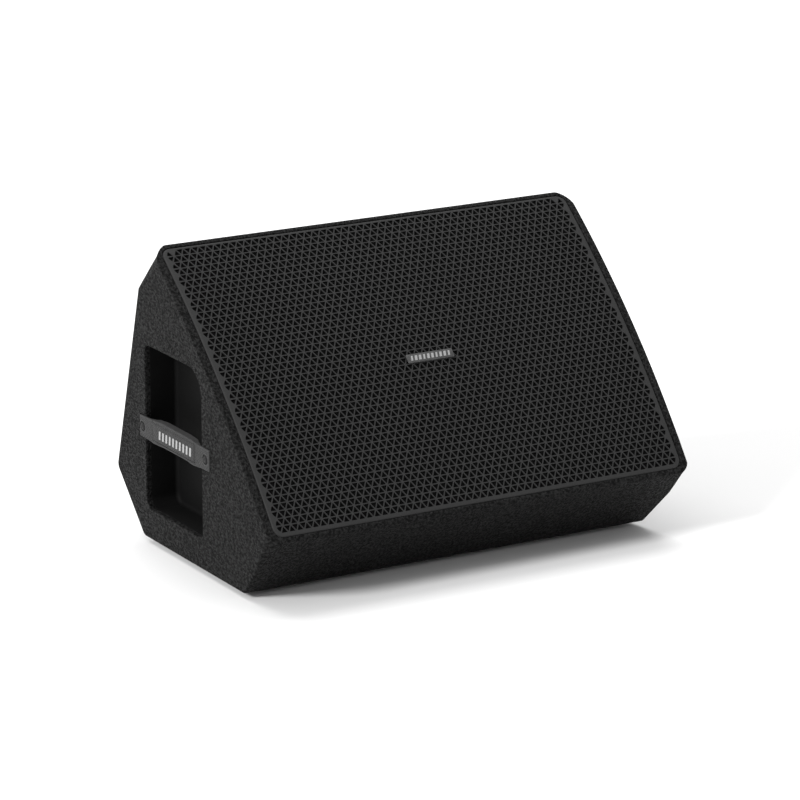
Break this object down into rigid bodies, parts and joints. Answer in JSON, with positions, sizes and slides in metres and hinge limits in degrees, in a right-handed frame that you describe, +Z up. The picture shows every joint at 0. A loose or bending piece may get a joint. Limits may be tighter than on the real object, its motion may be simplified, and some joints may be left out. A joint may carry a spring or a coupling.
{
  "type": "stage monitor wedge",
  "caption": "Two-way floor monitor wedge: tapered plywood cabinet, bulging perforated steel grille, side handle pockets crossed by rubber straps.",
  "frame": {"origin": "on the floor under the centre of the bounding box", "axes": "+X along the width, to the right as seen from the grille side; +Y to the rear, away from the grille; +Z up"},
  "size_m": [0.5676, 0.3972, 0.3673],
  "materials": {
    "cabinet_paint": "textured black paint over plywood, fine orange peel",
    "plywood": "bare birch plywood",
    "grille_steel": "satin black powder coat on perforated steel",
    "foam": "open-cell black foam",
    "badge": null,
    "pocket_plastic": "matt black moulding",
    "strap_rubber": "grey moulded rubber with fine dimples",
    "screw_steel": "blackened steel",
    "basket_steel": "black pressed steel",
    "gasket_foam": "foam rubber",
    "paper_cone": "ribbed dark paper pulp",
    "copper_wire": "enamelled copper wire",
    "surround_rubber": "thin moulded rubber",
    "spider_cloth": "resin-dipped corrugated cloth",
    "plated_steel": "zinc-plated steel",
    "ferrite": "bare ferrite",
    "horn_plastic": "black moulded plastic",
    "driver_steel": "black painted steel",
    "diaphragm_metal": "thin formed metal dome",
    "suspension_film": "amber film",
    "circuit_board": "green laminate",
    "film_capacitor": "yellow film wrap",
    "cement": "white cement",
    "plate_steel": "black powder coat",
    "socket_plastic": "black glass-filled nylon",
    "foot_rubber": "black rubber",
    "wadding": "off-white polyester wadding"
  },
  "bodies": {
    "cabinet": {"back_panel": "cabinet_paint", "badge": "badge", "baffle_board": "plywood", "baffle_cleat_bottom": "plywood", "baffle_cleat_top": "plywood", "bottom_panel": "cabinet_paint", "capacitor_high": "film_capacitor", "capacitor_low": "film_capacitor", "crossover_board": "circuit_board", "damping_wadding": "wadding", "diaphragm_suspension": "suspension_film", "driver_back_cover": "horn_plastic", "driver_body": "driver_steel", "grille": "grille_steel", "grille_foam": "foam", "handle_pocket_left": "pocket_plastic", "handle_pocket_right": "pocket_plastic", "handle_screw_left_front": "screw_steel", "handle_screw_left_rear": "screw_steel", "handle_screw_right_front": "screw_steel", "handle_screw_right_rear": "screw_steel", "handle_strap_left": "strap_rubber", "handle_strap_right": "strap_rubber", "horn": "horn_plastic", "inductor_high": "copper_wire", "inductor_low": "copper_wire", "input_plate": "plate_steel", "lower_front_panel": "cabinet_paint", "lower_rear_panel": "cabinet_paint", "padding_resistor": "cement", "port_tube_1": "horn_plastic", "port_tube_2": "horn_plastic", "rubber_foot_front_left": "foot_rubber", "rubber_foot_front_right": "foot_rubber", "rubber_foot_rear_left": "foot_rubber", "rubber_foot_rear_right": "foot_rubber", "side_panel_left": "cabinet_paint", "side_panel_right": "cabinet_paint", "speaker_socket_1": "socket_plastic", "speaker_socket_2": "socket_plastic", "top_rear_panel": "cabinet_paint", "woofer_basket": "basket_steel", "woofer_gasket": "gasket_foam", "woofer_magnet": "ferrite", "woofer_pole_plate": "plated_steel", "woofer_screw_1": "screw_steel", "woofer_screw_2": "screw_steel", "woofer_screw_3": "screw_steel", "woofer_screw_4": "screw_steel", "woofer_screw_5": "screw_steel", "woofer_screw_6": "screw_steel", "woofer_screw_7": "screw_steel", "woofer_screw_8": "screw_steel", "woofer_spider": "spider_cloth", "woofer_surround": "surround_rubber", "woofer_top_plate": "plated_steel"},
    "woofer_cone_assembly": {"woofer_cone": "paper_cone", "woofer_dust_cap": "paper_cone", "woofer_voice_coil": "copper_wire"},
    "driver_diaphragm_assembly": {"driver_diaphragm": "diaphragm_metal"}
  },
  "joints": [
    {"name": "woofer_excursion", "type": "slide", "parent": "cabinet", "child": "woofer_cone_assembly", "axis": [0, -0.743, 0.6692], "range_m": [-0.005, 0.005], "stiffness_N_per_m": 4000, "deforming": ["woofer_surround", "woofer_spider"]},
    {"name": "diaphragm_excursion", "type": "slide", "parent": "cabinet", "child": "driver_diaphragm_assembly", "axis": [0, -0.743, 0.6692], "range_m": [-0.0003, 0.0003], "stiffness_N_per_m": 6000, "deforming": ["diaphragm_suspension"]}
  ]
}
